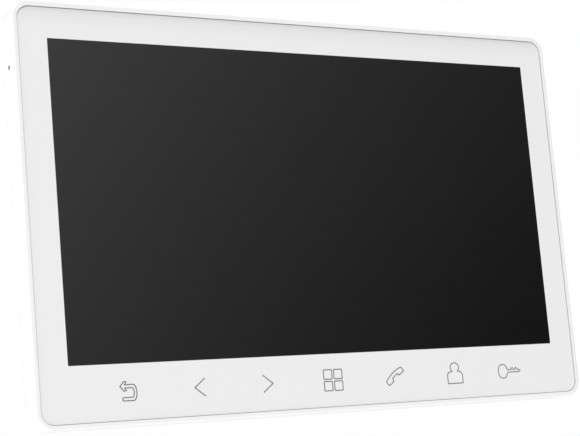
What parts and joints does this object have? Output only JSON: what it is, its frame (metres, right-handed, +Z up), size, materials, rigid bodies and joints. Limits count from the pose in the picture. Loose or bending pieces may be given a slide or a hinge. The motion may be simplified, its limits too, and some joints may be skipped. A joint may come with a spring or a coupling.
{
  "type": "video intercom monitor",
  "caption": "Wall-mounted indoor video intercom monitor with a wide display, a row of touch keys and a hook-on wall bracket.",
  "frame": {"origin": "on the wall plane, at the middle of the back of the wall bracket, level with the centre of the monitor", "axes": "+Z up, +X to the right of a person who faces the display, -Y out of the wall towards that person; the wall is the plane y = 0"},
  "size_m": [0.25, 0.0215, 0.1634],
  "materials": {
    "bracket_steel": "zinc-plated sheet, satin",
    "white_plastic": "fine moulded satin",
    "white_panel": "clear sheet painted white behind, smooth semi-gloss",
    "display_glass": "dark display behind a smooth clear sheet, switched off",
    "foam": "closed-cell foam tape",
    "diffuser": "milky translucent",
    "zinc_steel": "zinc plated",
    "circuit_board": "green solder mask",
    "flex_ribbon": "amber polyimide film",
    "chip_black": "moulded epoxy",
    "aluminium_part": "extruded or drawn, satin",
    "connector_ivory": "moulded nylon",
    "black_plastic": "moulded satin",
    "black_rubber": "matt",
    "key_print": "thin grey printed line",
    "label_paper": "blank matt film label"
  },
  "bodies": {
    "wall_bracket": {"wall_bracket": "bracket_steel"},
    "monitor": {"front_frame": "white_plastic", "front_panel": "white_panel", "display_window": "display_glass", "panel_tape": "foam", "lcd_cell": "display_glass", "lcd_backlight": "diffuser", "lcd_tray": "zinc_steel", "lcd_driver_board": "circuit_board", "lcd_ribbon": "flex_ribbon", "lcd_bracket_left": "zinc_steel", "lcd_bracket_right": "zinc_steel", "bracket_screw_1": "zinc_steel", "bracket_screw_2": "zinc_steel", "bracket_screw_3": "zinc_steel", "bracket_screw_4": "zinc_steel", "key_board": "circuit_board", "key_pad_back": "diffuser", "key_pad_left": "diffuser", "key_pad_right": "diffuser", "key_pad_menu": "diffuser", "key_pad_talk": "diffuser", "key_pad_guard": "diffuser", "key_pad_unlock": "diffuser", "key_ribbon": "flex_ribbon", "main_board": "circuit_board", "processor": "chip_black", "heat_sink": "aluminium_part", "shield_can": "zinc_steel", "capacitor": "aluminium_part", "door_connector_1": "connector_ivory", "door_connector_2": "connector_ivory", "camera_connector_1": "connector_ivory", "camera_connector_2": "connector_ivory", "link_connector": "connector_ivory", "power_connector": "connector_ivory", "board_screw_1": "zinc_steel", "board_screw_2": "zinc_steel", "board_screw_3": "zinc_steel", "board_screw_4": "zinc_steel", "speaker_gasket": "foam", "speaker": "zinc_steel", "speaker_cone": "black_plastic", "speaker_lead": "black_plastic", "microphone_boot": "black_rubber", "microphone": "aluminium_part", "microphone_lead": "black_plastic", "card_socket": "zinc_steel", "card_board": "circuit_board", "switch_body": "black_plastic", "rear_cover": "white_plastic", "cover_screw_1": "zinc_steel", "cover_screw_2": "zinc_steel", "cover_screw_3": "zinc_steel", "cover_screw_4": "zinc_steel", "cover_screw_5": "zinc_steel", "cover_screw_6": "zinc_steel", "rating_label": "label_paper"},
    "memory_card": {"memory_card": "black_plastic"},
    "power_switch": {"switch_knob": "black_plastic"}
  },
  "joints": [
    {"name": "lift_off", "type": "slide", "parent": "wall_bracket", "child": "monitor", "axis": [0, 0, 1], "range_m": [0, 0.006]},
    {"name": "card_slide", "type": "slide", "parent": "monitor", "child": "memory_card", "axis": [1, 0, 0], "range_m": [-0.0008, 0.012]},
    {"name": "power_slide", "type": "slide", "parent": "monitor", "child": "power_switch", "axis": [0, 0, -1], "range_m": [0, 0.002]}
  ]
}
